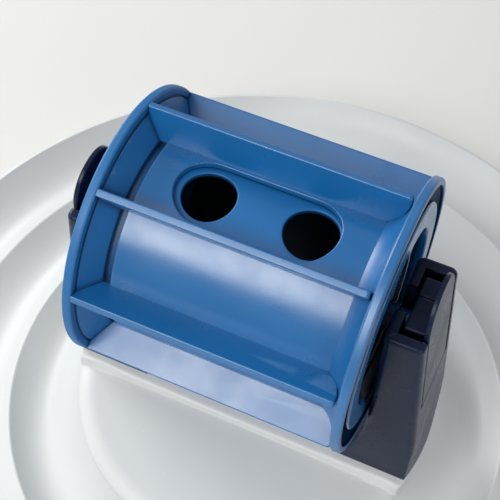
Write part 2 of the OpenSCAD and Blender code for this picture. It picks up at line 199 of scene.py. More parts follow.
# Moulded plastic: slow drifts of tone from large noise, edges made paler where the surface is sharply
# convex, partly as wear and partly as a painted highlight, a few paler specks in the cells of a fine
# pattern, painted shade in recesses where little sky is seen, patches of duller polish, and fine grain
# in the bump.
def mouldedPlastic(name, look):
    spans = plasticSpans
    material = bpy.data.materials.new(name)
    material.use_nodes = True
    tree = material.node_tree
    link = tree.links.new
    shader = tree.nodes["Principled BSDF"]
    place = tree.nodes.new("ShaderNodeTexCoord").outputs["Object"]

    # noise over the object's own places
    def noise(scale, detail):
        node = tree.nodes.new("ShaderNodeTexNoise")
        node.inputs["Scale"].default_value = scale
        node.inputs["Detail"].default_value = detail
        link(place, node.inputs["Vector"])
        return node.outputs["Fac"]

    # carries a value smoothly from the span of start and end to the span of low and high
    def spread(value, start, end, low=0.0, high=1.0):
        node = tree.nodes.new("ShaderNodeMapRange")
        node.interpolation_type = "SMOOTHSTEP"
        for socket, number in zip(node.inputs[1:5], (start, end, low, high)):
            socket.default_value = number
        link(value, node.inputs["Value"])
        return node.outputs["Result"]

    # one step of arithmetic on values, each a number or another node's result
    def combined(operation, *values):
        node = tree.nodes.new("ShaderNodeMath")
        node.operation = operation
        for socket, value in zip(node.inputs, values):
            if isinstance(value, float):
                socket.default_value = value
            else:
                link(value, socket)
        return node.outputs["Value"]

    # mixes two colours by a share
    def mixed(share, first, second):
        node = tree.nodes.new("ShaderNodeMix")
        node.data_type = "RGBA"
        link(share, node.inputs["Factor"])
        for socket, colour in ((node.inputs["A"], first), (node.inputs["B"], second)):
            if isinstance(colour, tuple):
                socket.default_value = (*colour, 1)
            else:
                link(colour, socket)
        return node.outputs["Result"]

    # share of painted shade in the deep groove beside the lid: behind the web's back line and inside the rim
    def grooveShadeShare(groove):
        across = tree.nodes.new("ShaderNodeVectorMath")
        across.operation = "MULTIPLY_ADD"
        across.inputs[1].default_value = (0, 1, 1)
        across.inputs[2].default_value = (0, 0, -axisHeight * mm)
        link(place, across.inputs[0])
        length = tree.nodes.new("ShaderNodeVectorMath")
        length.operation = "LENGTH"
        link(across.outputs["Vector"], length.inputs[0])
        radius = length.outputs["Value"]
        parts = tree.nodes.new("ShaderNodeSeparateXYZ")
        link(place, parts.inputs["Vector"])
        behind = combined("MULTIPLY_ADD", radius, -groove["slope"], parts.outputs["X"])
        behind = spread(behind, groove["line"], groove["line"] + groove["soft"], 0, groove["shade"])
        inside = spread(radius, groove["rim"] + groove["soft"], groove["rim"])
        return combined("MULTIPLY", behind, inside)

    tone = mixed(spread(noise(look["toneScale"], detail=3), *spans["tone"]), look["dark"], look["light"])
    # edges painted paler where the surface is sharply convex: partly wear, partly a painted highlight
    shape = tree.nodes.new("ShaderNodeNewGeometry")
    edges = spread(shape.outputs["Pointiness"], *spans["edge"], 0, look["wearAndHighlight"])
    rubbed = spread(noise(look["polishScale"], detail=3), *spans["rub"])
    paleWearAndHighlight = mixed(combined("MULTIPLY", edges, rubbed), tone, look["paleWearAndHighlight"])
    cells = tree.nodes.new("ShaderNodeTexVoronoi")
    cells.inputs["Scale"].default_value = look["speckScale"]
    link(place, cells.inputs["Vector"])
    chance = tree.nodes.new("ShaderNodeSeparateColor")
    link(cells.outputs["Color"], chance.inputs["Color"])
    dots = spread(cells.outputs["Distance"], *spans["dot"])
    rare = spread(chance.outputs["Red"], *spans["rare"], 0, look["specks"])
    # the specks take the same pale colour
    speckled = mixed(combined("MULTIPLY", dots, rare), paleWearAndHighlight, look["paleWearAndHighlight"])
    # painted shade: the colour darkens towards a dark shade colour where ambient occlusion finds other
    # surfaces within reach, in corners, grooves, pockets and holes
    corner = tree.nodes.new("ShaderNodeAmbientOcclusion")
    corner.inputs["Distance"].default_value = look["recessReach"]
    recess = spread(corner.outputs["AO"], *look["recessSpan"], 0, look["recess"])
    shader.inputs["Specular IOR Level"].default_value = look["gloss"]
    # painted shade in the groove beside the lid: its colour darkens and its gloss drops there, so it reads as
    # shadow
    if "groove" in look:
        groove = look["groove"]
        deep = grooveShadeShare(groove)
        recess = combined("MAXIMUM", recess, deep)
        duller = spread(deep, 0, groove["shade"], look["gloss"], groove["gloss"])
        link(duller, shader.inputs["Specular IOR Level"])
    link(mixed(recess, speckled, look["recessShade"]), shader.inputs["Base Color"])
    polish = noise(look["polishScale"], detail=4)
    link(spread(polish, *spans["polish"], *look["rough"]), shader.inputs["Roughness"])
    grain = tree.nodes.new("ShaderNodeBump")
    grain.inputs["Strength"].default_value = look["grain"]
    grain.inputs["Distance"].default_value = spans["grainDepth"]
    link(noise(look["grainScale"], detail=2), grain.inputs["Height"])
    link(grain.outputs["Normal"], shader.inputs["Normal"])
    return material


# in each look the recess values and the dark shade colour set painted shade in recesses; the pale colour and
# its share set edges painted paler, as wear and as painted highlight
blueLook = {
    "dark": (0.006, 0.126, 0.362), "light": (0.009, 0.146, 0.405), "toneScale": 26,
    "paleWearAndHighlight": (0.12, 0.31, 0.58), "wearAndHighlight": 0.5, "specks": 0.18, "speckScale": 620,
    "recessShade": (0.003, 0.03, 0.1), "recess": 0.55, "recessReach": 0.002, "recessSpan": (0.6, 0.25),
    "rough": (0.27, 0.34), "polishScale": 90, "grain": 0.1, "grainScale": 2600, "gloss": 0.9,
}
bluePlastic = mouldedPlastic("bluePlastic", blueLook)
# painted shade in the deep groove beside the lid
blueSatin = mouldedPlastic("blueSatin", {
    **blueLook, "rough": (0.33, 0.4), "gloss": 1,
    "recessShade": (0.002, 0.016, 0.055), "recess": 0.62, "recessReach": 0.0035, "recessSpan": (0.72, 0.36),
    "groove": {"slope": 0.69, "line": 0.0137, "rim": 0.0405, "soft": 0.0003, "shade": 0.95, "gloss": 0.05},
})
# stronger painted shade in the groove at the barrel's left end
blueDull = mouldedPlastic("blueDull", {
    **blueLook, "rough": (0.48, 0.55), "gloss": 0.6,
    "recess": 0.8, "recessReach": 0.0035, "recessSpan": (0.88, 0.5),
})
# inside the drum the painted shade reaches far and goes nearly black
blueInside = mouldedPlastic("blueInside", {
    **blueLook, "rough": (0.4, 0.46), "gloss": 0.6,
    "recessShade": (0.001, 0.006, 0.016), "recess": 0.97, "recessReach": 0.08, "recessSpan": (0.4, 0.15),
})
# strong painted shade in the lid's deep groove
blueLid = mouldedPlastic("blueLid", {
    **blueLook, "rough": (0.17, 0.23),
    "recessShade": (0.001, 0.008, 0.03), "recess": 0.95, "recessReach": 0.006, "recessSpan": (0.95, 0.65),
})
greyPlastic = mouldedPlastic("greyPlastic", {
    "dark": (0.655, 0.68, 0.69), "light": (0.69, 0.71, 0.72), "toneScale": 14,
    "paleWearAndHighlight": (0.78, 0.785, 0.785), "wearAndHighlight": 0.6, "specks": 0.3, "speckScale": 300,
    "recessShade": (0.4, 0.42, 0.43), "recess": 0.4, "recessReach": 0.004, "recessSpan": (0.6, 0.25),
    "rough": (0.36, 0.44), "polishScale": 60, "grain": 0.06, "grainScale": 2200, "gloss": 0.5,
})
# painted shade deep in the pillars' pockets and slits
navyPlastic = mouldedPlastic("navyPlastic", {
    "dark": (0.009, 0.016, 0.044), "light": (0.012, 0.02, 0.052), "toneScale": 40,
    "paleWearAndHighlight": (0.12, 0.13, 0.16), "wearAndHighlight": 0.8, "specks": 0.5, "speckScale": 500,
    "recessShade": (0.002, 0.002, 0.004), "recess": 0.92, "recessReach": 0.006, "recessSpan": (0.6, 0.25),
    "rough": (0.25, 0.32), "polishScale": 90, "grain": 0.14, "grainScale": 2400, "gloss": 0.17,
})
rubberGrey = mouldedPlastic("rubberGrey", {
    "dark": (0.05, 0.053, 0.057), "light": (0.066, 0.07, 0.074), "toneScale": 80,
    "paleWearAndHighlight": (0.1, 0.1, 0.1), "wearAndHighlight": 0.5, "specks": 0.2, "speckScale": 500,
    "recessShade": (0.02, 0.02, 0.02), "recess": 0.5, "recessReach": 0.003, "recessSpan": (0.6, 0.25),
    "rough": (0.7, 0.85), "polishScale": 120, "grain": 0.3, "grainScale": 1800, "gloss": 0.3,
})
zincSteel = mouldedPlastic("zincSteel", {
    "dark": (0.5, 0.51, 0.52), "light": (0.6, 0.6, 0.61), "toneScale": 300,
    "paleWearAndHighlight": (0.72, 0.72, 0.72), "wearAndHighlight": 0.6, "specks": 0.2, "speckScale": 800,
    "recessShade": (0.12, 0.12, 0.12), "recess": 0.6, "recessReach": 0.001, "recessSpan": (0.6, 0.25),
    "rough": (0.3, 0.42), "polishScale": 400, "grain": 0.1, "grainScale": 3000, "gloss": 0.5,
})
zincSteel.node_tree.nodes["Principled BSDF"].inputs["Metallic"].default_value = 1
print("materials made")

# Bowl: heights and radii of its moulded shell, and the counts of points in its grid
bowlSizes = {
    "rimRadius": 141.9, "rimHeight": 40, "rimRoll": 2.5, "rimTurn": 0.35, "rimBelow": 4,
    "skirtRadius": 127, "skirtFoot": 1.1, "skirtRound": 1, "wall": 2.6,
    "hubRadius": 62.86, "hubHeight": 50.5, "hubFall": 1.5, "hubEdge": 4, "hubSeam": 50, "hubShoulder": 7,
    "crestHeight": 37, "crestRound": 1.6, "crestPull": 0.12, "depths": (11, 6, 6),
    "dishStart": 0.15, "dishShort": 0.45, "underStart": 1, "underEnd": 1.3,
    "plinthTop": 52, "plinthHalf": 19.45, "plinthEdge": 2, "plinthFoot": 0.8,
    "plinthRound": 1.1, "plinthInside": 0.6, "plinthLevel": 0.25,
    "posts": 6, "postRadius": 7.5, "postHole": 3.02, "postCircle": 113.9, "postBottom": 2.2,
    "ribThick": 2.4, "ribDepth": 45.1, "ribTop": 2, "ribRound": 0.4, "ribEdge": 0.3,
    "columnEnds": (15.3, 23.6, 90), "columnCounts": (10, 42, 36),
    "counts": {"quarter": 15, "flat": 5, "bend": 12, "dish": 100, "rim": 14, "foot": 6, "under": 42,
               "middle": 49, "post": 48},
}


# Height of the dish at a radius: the lowest of three hanging parabolas, one between each pair of crests,
# with the crests rounded where two of them are close.
def dishHeight(r):
    b = bowlSizes
    rimCrest = b["rimRadius"] - b["rimRoll"]
    ends = np.linspace(b["hubRadius"], rimCrest, len(b["depths"]) + 1)
    hubFoot = b["hubHeight"] - b["hubFall"] - b["hubEdge"]
    tops = [hubFoot, b["crestHeight"], b["crestHeight"], b["rimHeight"]]
    height = None
    for k, depth in enumerate(b["depths"]):
        u = (r - ends[k]) / (ends[k + 1] - ends[k])
        ring = tops[k] + (tops[k + 1] - tops[k]) * u - depth * 4 * u * (1 - u)
        if height is None:
            height = ring
        else:
            near = np.maximum(b["crestRound"] - abs(height - ring), 0) / b["crestRound"]
            height = np.minimum(height, ring) - near ** 2 * b["crestRound"] / 4
    return height


# Share of the plinth at a distance from the middle line: full on top, half of it down a quarter circle
# at its long edges, and the other half down a steep foot.
def plinthShare(y, half):
    b = bowlSizes
    d = np.clip(abs(y) - half + b["plinthEdge"], 0, None) / b["plinthEdge"]
    crown = 0.5 + 0.5 * np.sqrt(np.clip(1 - d ** 2, 0, 1))
    foot = np.clip((abs(y) - half) / b["plinthFoot"], 0, 1)
    return np.where(d < 1, crown, 0.5 * (1 - foot) ** 2)


# The bowl: one outline from the hub over the rings, the rim and the skirt and back underneath is turned
# about the upright line; near the hub it is shifted towards the plinth's outline by the plinth's share.
def makeBowl():
    b, counts = bowlSizes, bowlSizes["counts"]
    wall, seam, hub, edge, wide = b["wall"], b["hubSeam"], b["hubRadius"], b["hubEdge"], b["hubShoulder"]
    hubFoot = b["hubHeight"] - b["hubFall"] - edge
    quarter = np.linspace(quarterTurn, 0, counts["quarter"])
    flat = np.linspace(seam, hub - wide, counts["flat"])[:-1]

    # the hub's top falls evenly with the radius
    def slope(r):
        return b["hubHeight"] - b["hubFall"] * r / (hub - wide)

    # the hub's outline, or the one a wall below it: the falling top and a quarter of an ellipse
    def hubLine(lower):
        bendRadius = hub - wide + (wide - lower) * np.cos(quarter)
        bendHeight = hubFoot + (edge - lower) * np.sin(quarter)
        level = np.column_stack([flat, slope(flat) - lower])
        return np.concatenate([level, np.column_stack([bendRadius, bendHeight])])

    # the plinth's outline with as many points: level to its end, a small round edge and straight down
    def plinthLine(top, end, bend):
        corner = [[seam, top], [end, top], [end, hubFoot]]
        path = rounded(corner, [0, bend, 0], counts["bend"], closed=False)
        length = runLength(path)
        level = np.linspace(0, b["plinthLevel"], len(flat), endpoint=False)
        share = np.concatenate([level, np.linspace(b["plinthLevel"], 1, len(quarter))])
        return alongPath(path, length, share * length[-1])

    plinthTop = plinthLine(b["plinthTop"], hub, b["plinthRound"])
    plinthUnder = plinthLine(b["plinthTop"] - wall, hub - wall, b["plinthInside"])
    roll = b["rimRoll"]
    rimCrest = b["rimRadius"] - roll
    rings = len(b["depths"])
    share = np.linspace(0, rings, counts["dish"])
    share = (share - b["crestPull"] * np.sin(turn * share)) / rings  # closer together at the crests
    radii = hub + b["dishStart"] + (rimCrest - hub - b["dishShort"]) * share
    dish = np.column_stack([radii, dishHeight(radii)])
    rimArc = np.linspace(quarterTurn, -b["rimTurn"], counts["rim"])
    rim = np.column_stack([rimCrest + roll * np.cos(rimArc), b["rimHeight"] - roll + roll * np.sin(rimArc)])
    skirt = [
        [b["rimRadius"], b["rimHeight"] - b["rimBelow"]], [b["skirtRadius"], b["skirtFoot"]],
        [b["skirtRadius"] - wall, b["skirtFoot"]], [rimCrest - wall, b["rimHeight"] - roll - wall],
    ]
    bends = [0] + [b["skirtRound"]] * 3
    foot = rounded(skirt, bends, counts["foot"], closed=False)[counts["foot"]:]
    under = np.linspace(rimCrest - wall - b["underStart"], hub + b["underEnd"], counts["under"])
    outside = np.concatenate([dish, rim, foot, np.column_stack([under, dishHeight(under) - wall])])

    # columns are close together where the plinth's long edges cross the hub
    near, mid, far = np.radians(b["columnEnds"])
    few, many, rest = b["columnCounts"]
    first = np.concatenate([
        np.linspace(0, near, few, endpoint=False), np.linspace(near, mid, many, endpoint=False),
        np.linspace(mid, far, rest)])
    half = np.concatenate([-first[:0:-1], first])
    angles = np.concatenate([half, np.pi - half[::-1][1:-1]])

    # the hub's turned outline, moved to the plinth's by its share
    def blended(lower, raisedLine, reach):
        base, raised = turnedUp(hubLine(lower), angles), turnedUp(raisedLine, angles)
        return base + plinthShare(base[..., 1], reach)[..., None] * (raised - base)

    topRows = blended(0, plinthTop, b["plinthHalf"])
    underRows = blended(wall, plinthUnder, b["plinthHalf"] - wall)
    body = np.concatenate([topRows, turnedUp(outside, angles), underRows[::-1]])

    # the middle of the hub: rows straight across, each between the two seam points at the same distance
    def hubMiddle(lower, top, reach):
        y, x = seam * np.sin(half), seam * np.cos(half)
        across = np.linspace(-1, 1, counts["middle"])[None] * x[:, None]
        along = y[:, None] + 0 * across
        height = slope(np.hypot(across, along)) - lower
        return np.stack([across, along, height + plinthShare(along, reach) * (top - height)], -1)

    sheets = [
        (body, False, True),
        (hubMiddle(0, b["plinthTop"], b["plinthHalf"]), False, False),
        (hubMiddle(wall, b["plinthTop"] - wall, b["plinthHalf"] - wall), False, False),
    ]

    # posts for the feet: open tubes that end inside the dish's wall
    ring = np.linspace(0, turn, counts["post"], endpoint=False)
    spread = np.array([b["postHole"], b["postRadius"], b["postRadius"], b["postHole"]])[:, None]
    upper = np.array([False, False, True, True])[:, None]
    for k in range(b["posts"]):
        middle = (k + 0.5) * turn / b["posts"]
        x = b["postCircle"] * np.cos(middle) + spread * np.cos(ring)
        y = b["postCircle"] * np.sin(middle) + spread * np.sin(ring)
        z = np.where(upper, dishHeight(np.hypot(x, y)) - wall / 2, b["postBottom"])
        sheets.append((np.stack([x, y, z], -1), True, True))

    # ribs under the plinth's long edges
    low, high = b["ribDepth"], b["hubHeight"] - b["ribTop"]
    reach = math.sqrt((hub - wall) ** 2 - b["plinthHalf"] ** 2)
    outline = [[-reach, low], [reach, low], [reach, high], [-reach, high]]
    rib = plate(outline, b["ribRound"], b["ribThick"], b["ribEdge"], steps=4, edgeSteps=3)
    for side in (-1, 1):
        middle = side * (b["plinthHalf"] - b["ribThick"] / 2)
        sheets.append((np.stack([rib[..., 0], middle + rib[..., 2], rib[..., 1]], -1), False, True))
    return makePiece("bowlShell", sheets, "base", ["bowl"], greyPlastic, sharp=40)


makeBowl()

# Drum: barrel, fins, flanges and what turns inside it
drumSizes = {
    "rimRadius": 42.7, "rimEnd": 43.2, "rimInside": 40.2, "rimFace": 40.4, "webRadius": 40.2,
    "barrelRadius": 32.4, "barrelWall": 2.3, "barrelEnd": 34.5, "collarEnd": 36.7, "leftFoot": 35.7,
    "groove": 2.6, "grooveDepth": 1.95, "cellAngle": math.radians(5), "cellHalf": math.radians(22.5),
    "windowReach": 14.55, "windowRadius": 10.2, "lip": 0.45,
    "hubRadius": 4.2, "hubEnd": 44.4, "axleRadius": 3.5,
}
tubeCounts = {"lip": 6, "panel": 14, "rest": 150}


# A tube with round-ended openings in a row. Each opening has its own panel, where loops of points run
# from the panel's border to the opening's lip, round it, through the wall and back along the inside;
# a plain grid closes the rest.
def openTube(outer, inner, panels, halfAngle, middleAngle, lip, long=64, short=24):
    sheets, places = [], []
    lipTurn = np.linspace(0, quarterTurn, tubeCounts["lip"])
    shares = np.linspace(0, 1, tubeCounts["panel"])
    f, g = np.arange(long) / long, np.arange(short) / short
    for start, end, centre, straight, radius in panels:
        borderX = np.concatenate([
            end + (start - end) * f, start + 0 * g, start + (end - start) * f, end + 0 * g])
        borderA = halfAngle * np.concatenate([1 + 0 * f, 1 - 2 * g, -1 + 0 * f, -1 + 2 * g])
        # the opening's outline by length: an eighth of a circle, a straight side, an eighth of a circle,
        # and the ends
        run = (2 * straight + radius * np.pi / 2) * f
        bend = radius * np.pi / 4
        sideX = np.clip(straight - (run - bend), -straight, straight)
        sideA = np.pi / 4 + (np.minimum(run, bend) + np.maximum(run - bend - 2 * straight, 0)) / radius
        endA = np.pi * 3 / 4 + np.pi / 2 * g
        lineX = centre + np.concatenate([sideX, -straight + 0 * g, -sideX, straight + 0 * g])
        lineA = np.concatenate([sideA, endA, sideA + np.pi, endA + np.pi])

        # the opening's outline, this far outside its radius, laid on a cylinder
        def loop(offset, depth):
            x = lineX + (radius + offset) * np.cos(lineA)
            return x, np.arcsin((radius + offset) * np.sin(lineA) / depth), depth

        # loops between the panel's border and the opening's outline
        def spread(offset, depth, steps):
            x, a, _ = loop(offset, depth)
            return [(borderX + (x - borderX) * s, borderA + (a - borderA) * s, depth) for s in steps]

        rows = spread(lip, outer, shares)
        rows += [loop(lip * (1 - np.sin(t)), outer - lip * (1 - np.cos(t))) for t in lipTurn[1:]]
        rows += [loop(lip * (1 - np.cos(t)), inner + lip * (1 - np.sin(t))) for t in lipTurn[:-1]]
        rows += spread(lip, inner, shares[::-1])
        grid = np.stack([onDrum(x, r + 0 * x, a + middleAngle) for x, a, r in rows])
        sheets.append((grid, False, True))
        places.append(np.linspace(start, end, long + 1))
    x = np.unique(np.round(np.concatenate(places), 6))
    rest = np.linspace(halfAngle, turn - halfAngle, tubeCounts["rest"]) + middleAngle
    for r in (outer, inner):
        sheets.append((onDrum(x[:, None], r, rest[None]), False, False))
    panelPart = np.linspace(turn - halfAngle, turn + halfAngle, short + 1)[:-1] + middleAngle
    around = np.concatenate([rest[:-1], panelPart])
    for end in (x[0], x[-1]):
        sheets.append((onDrum(end, np.array([[outer], [inner]]), around[None]), False, True))
    return sheets


# The barrel: a tube from the left groove to the right collar, with one long opening.
def makeBarrel():
    d = drumSizes
    inner = d["barrelRadius"] - d["barrelWall"]
    panel = (-d["leftFoot"] + d["groove"], d["collarEnd"], 0, d["windowReach"], d["windowRadius"])
    sheets = openTube(d["barrelRadius"], inner, [panel], d["cellHalf"], d["cellAngle"], d["lip"])
    return makePiece("drumBarrel", sheets, "drum", ["drum_barrel"], bluePlastic)


makeBarrel()

# Flanges: the outline runs from the barrel up the web, over the rim and back down the outside
flangeSizes = {
    "rimRound": 0.8, "faceRound": 0.5, "faceDepth": 1, "stepWidth": 0.6, "stepDepth": 0.4, "stepLean": 0.05,
    "webBack": 30.5, "webBend": 12.2, "webDip": 1.57, "webLap": 0.2, "endWall": 2.2, "bore": 3.52,
    "relief": 0.35, "collarGap": 0.4, "ringGap": 0.02, "ringWall": 0.5,
}


# Corners of a rim above a web that starts at the given foot: the small step, the rim and its face.
def rimCorners(foot):
    d, s = drumSizes, flangeSizes
    slope = (d["rimInside"] - foot) / (d["webRadius"] - d["barrelRadius"])
    dip = d["webRadius"] - s["stepWidth"]
    step = d["rimInside"] + s["stepDepth"]
    points = [
        [dip, d["rimInside"] - slope * s["stepWidth"]], [dip + s["stepLean"], step],
        [d["webRadius"], step], [d["webRadius"] + s["stepLean"], d["rimInside"]],
        [d["rimRadius"], d["rimInside"]], [d["rimRadius"], d["rimEnd"]],
        [d["rimFace"], d["rimEnd"]], [d["rimFace"], d["rimEnd"] - s["faceDepth"]],
    ]
    return points, [0.2, 0.12, 0.12, 0.2, s["rimRound"], s["rimRound"], s["faceRound"], 0.3]


# The flanges: two closed outlines turned about the axis. The left one has an end wall and a spigot, with
# a groove between it and the barrel; the right one is a ring whose web is a hollow curve, made by rounding
# a corner that lies off the middle of its straight line.
def makeFlanges():
    d, s = drumSizes, flangeSizes
    rim, rimRadii = rimCorners(d["leftFoot"])
    spigot = d["barrelRadius"] - d["grooveDepth"]
    relief = spigot - s["relief"]
    collar = d["leftFoot"] - d["groove"] - s["collarGap"]
    back = d["barrelEnd"] + s["endWall"]
    leftLine = [
        [s["bore"], d["barrelEnd"]], [relief, d["barrelEnd"]], [relief, collar], [spigot, collar],
        [spigot, d["leftFoot"]], [d["barrelRadius"] - s["webLap"], d["leftFoot"]], *rim,
        [s["webBack"], back], [d["hubRadius"], back], [d["hubRadius"], d["hubEnd"]], [s["bore"], d["hubEnd"]],
    ]
    leftRadii = [0.1, 0.1, 0.1, 0.1, 0.1, 0.3, *rimRadii, 0.8, 0.8, 0.5, 0.2]
    outline = denser(rounded(leftLine, leftRadii, steps=7)) * np.array([1, -1])
    sheets = [(turnedDrum(outline), True, True)]
    makePiece("leftFlange", sheets, "drum", ["left_flange"], blueDull)
    rim, rimRadii = rimCorners(d["barrelEnd"])
    bore = d["barrelRadius"] + s["ringGap"]
    start, end = np.array([bore + s["ringWall"], d["barrelEnd"]]), np.array(rim[0])
    across = np.array([start[1] - end[1], end[0] - start[0]]) / np.linalg.norm(end - start)
    hollow = (start + end) / 2 + across * s["webDip"]
    rightLine = [[bore, d["barrelEnd"]], start, hollow, *rim, [bore, d["collarEnd"]]]
    outline = denser(rounded(rightLine, [0.05, 0.05, s["webBend"], *rimRadii, 0.2], steps=9))
    sheets = [(turnedDrum(outline), True, True)]
    makePiece("rightFlange", sheets, "drum", ["right_flange"], blueSatin)


makeFlanges()

# Fins: plates between the webs, moulded to the left one and free at the right
finSizes = {
    "count": 8, "thick": 2.3, "edge": 0.42, "phase": math.radians(-17.5), "root": 0.6, "top": 42.55,
    "freeEnd": 39.6, "freeReach": 0.6, "freeBelly": 1.2, "corner": 1.1, "heel": 1.0, "heelRise": 0.6,
    "bellyRise": 3.5, "tipDrop": 0.6, "footLap": 0.05, "rimLap": 0.2,
}


# The fins: one plate, whose right end bellies out beyond the web's straight line, turned about the axis
# to even angles.
def makeFins():
    d, f = drumSizes, finSizes
    barrel = d["barrelRadius"]
    low, heel, belly = barrel - f["root"], barrel + f["heelRise"], barrel + f["bellyRise"]
    run = (d["rimInside"] - d["barrelEnd"]) / (d["webRadius"] - barrel)
    rim = -d["rimInside"] - f["rimLap"]

    # place of the web's straight line at a radius
    def web(r):
        return d["barrelEnd"] + (r - barrel) * run

    outline = [
        [-d["leftFoot"] + f["footLap"], low], [web(barrel) - f["heel"], low],
        [web(heel) + f["freeReach"], heel], [web(belly) + f["freeBelly"], belly],
        [f["freeEnd"], d["webRadius"] - f["tipDrop"]], [f["freeEnd"], f["top"]],
        [rim, f["top"]], [rim, d["webRadius"] - f["rimLap"]],
    ]
    radii = [0.1, 0.2, 0.3, 0.5, 0.5, f["corner"], 0.1, 0.1]
    blade = plate(outline, radii, f["thick"], f["edge"], steps=6, edgeSteps=5)
    for k in range(f["count"]):
        angle = f["phase"] + k * turn / f["count"]
        up = np.array([0, -np.sin(angle), np.cos(angle)])
        front = np.array([0, -np.cos(angle), -np.sin(angle)])
        grid = blade[..., 1:2] * up + blade[..., 2:3] * front + blade[..., :1] * np.array([1, 0, 0])
        sheets = [(grid + np.array([0, 0, axisHeight]), False, True)]
        makePiece(f"fin{k + 1}", sheets, "drum", [f"fin_{k + 1}"], bluePlastic)


makeFins()

# Shutter sleeve: the inner tube with two round outlets
sleeveSizes = {
    "outer": 30.0, "inner": 28.0, "start": -34.3, "end": 36.85, "split": 0.9, "panelHalf": math.radians(34),
    "outlets": (-14.7, 16.5), "outletRadius": 8, "lip": 0.5, "panelCount": 40,
}


# The sleeve: a tube with two panels side by side, each with an opening that has no straight part.
def makeSleeve():
    s, count = sleeveSizes, sleeveSizes["panelCount"]
    leftOutlet, rightOutlet = s["outlets"]
    panels = [
        (s["start"], s["split"], leftOutlet, 0, s["outletRadius"]),
        (s["split"], s["end"], rightOutlet, 0, s["outletRadius"]),
    ]
    middle = drumSizes["cellAngle"]
    sheets = openTube(s["outer"], s["inner"], panels, s["panelHalf"], middle, s["lip"], count, count)
    return makePiece("shutterSleeve", sheets, "shutter", ["shutter_sleeve"], blueInside)


makeSleeve()

# End lid: a dished plate with a spigot in the sleeve, a raised border and a grip ring
lidSizes = {
    "radius": 35.5, "back": 31.7, "side": 40.2, "ringWidth": 8, "ringLean": 0.8, "dish": 39.2, "plate": 2.2,
    "start": 36.9, "spigot": 4, "spigotWall": 2, "spigotGap": 0.02, "grip": 20.5, "gripSize": 1.2,
}


# The lid: one closed outline turned about the axis.
def makeLid():
    d, s, bore = drumSizes, lidSizes, flangeSizes["bore"]
    spigot = sleeveSizes["inner"] - s["spigotGap"]
    ring, wide = s["radius"] - s["ringWidth"], s["gripSize"] / 2
    inside, deep = spigot - s["spigotWall"], s["start"] - s["spigot"]
    under, over = s["dish"] - s["plate"], s["dish"] + 2 * wide
    near, far = s["grip"] - wide, s["grip"] + wide
    points = [
        [bore, under], [inside, under], [inside, deep], [spigot, deep], [spigot, s["start"]],
        [s["back"], s["start"]], [s["radius"], s["side"]], [s["radius"], d["rimEnd"]],
        [ring, d["rimEnd"]], [ring - s["ringLean"], s["dish"]],
        [far, s["dish"]], [far, over], [near, over], [near, s["dish"]],
        [d["hubRadius"], s["dish"]], [d["hubRadius"], d["hubEnd"]], [bore, d["hubEnd"]],
    ]
    radii = [0.05, 0.3, 0.2, 0.3, 0.05, 0.2, 0.4, 0.8, 0.7, 0.8, 0.3, 0.4, 0.4, 0.3, 0.8, 0.5, 0.2]
    sheets = [(turnedDrum(denser(rounded(points, radii, steps=7))), True, True)]
    return makePiece("endLid", sheets, "shutter", ["end_lid"], blueLid)


makeLid()

# Axle stubs: a head inside the end wall, a shaft through it and a thinner tip
stubSizes = {"head": 1.6, "headRadius": 7, "shaftEnd": 47.8, "tipRadius": 2.5, "tipEnd": 51.2, "around": 64}


# A stub: an outline from the axis out and back, turned about the axis and mirrored for the left.
def makeStub(name, seat, side, body, node):
    t, shaft = stubSizes, drumSizes["axleRadius"]
    points = [
        [0, seat - t["head"]], [t["headRadius"], seat - t["head"]], [t["headRadius"], seat],
        [shaft, seat], [shaft, t["shaftEnd"]], [t["tipRadius"], t["shaftEnd"]],
        [t["tipRadius"], t["tipEnd"]], [0, t["tipEnd"]],
    ]
    line = rounded(points, [0, 0.4, 0.1, 0.1, 0.3, 0.2, 0.6, 0], steps=6, closed=False)
    outline = denser(line, closed=False) * np.array([1, side])
    sheets = [(turnedDrum(outline, t["around"]), False, True)]
    return makePiece(name, sheets, body, [node], bluePlastic)


makeStub("leftAxleStub", drumSizes["barrelEnd"], -1, "drum", "left_axle_stub")
makeStub("rightAxleStub", lidSizes["dish"] - lidSizes["plate"], 1, "shutter", "right_axle_stub")
print("drum made")

# Pillars: rounded towers with a pocket for the tongue, a notch for the axle and a curved foot
pillarSizes = {
    "foot": 52, "top": 133.3, "slitFoot": 95, "inside": 45.4, "outside": 56.2, "half": 15.6, "edge": 2.4,
    "crown": 1.4, "insideSlope": 1, "outsideSlope": 4.4, "sideSlope": 0.25,
    "pocket": 47.3, "pocketHalf": 11.9, "lip": 0.4, "lipShare": 0.4,
    "footRadius": 62.45, "flare": 9.6, "flareHeight": 30, "toe": 2, "toeEdge": 0.8, "toeRows": (0, 0.6, 1.3),
    "notch": 3.55, "notchMouth": 4.7, "notchCrown": 0.35, "mouthWidths": (0.42, 0.2, 0.08, 0.01, -0.01),
    "mouthDrops": (0, 0.02, 0.1, 0.3, 0.7), "mouthCrowns": (1.4, 1.3, 1.1, 0.7, 0.4),
    "counts": {"bend": 9, "ramp": 8, "dip": 13, "flare": 16, "lower": 8, "upper": 12, "crest": 7, "lip": 5},
}


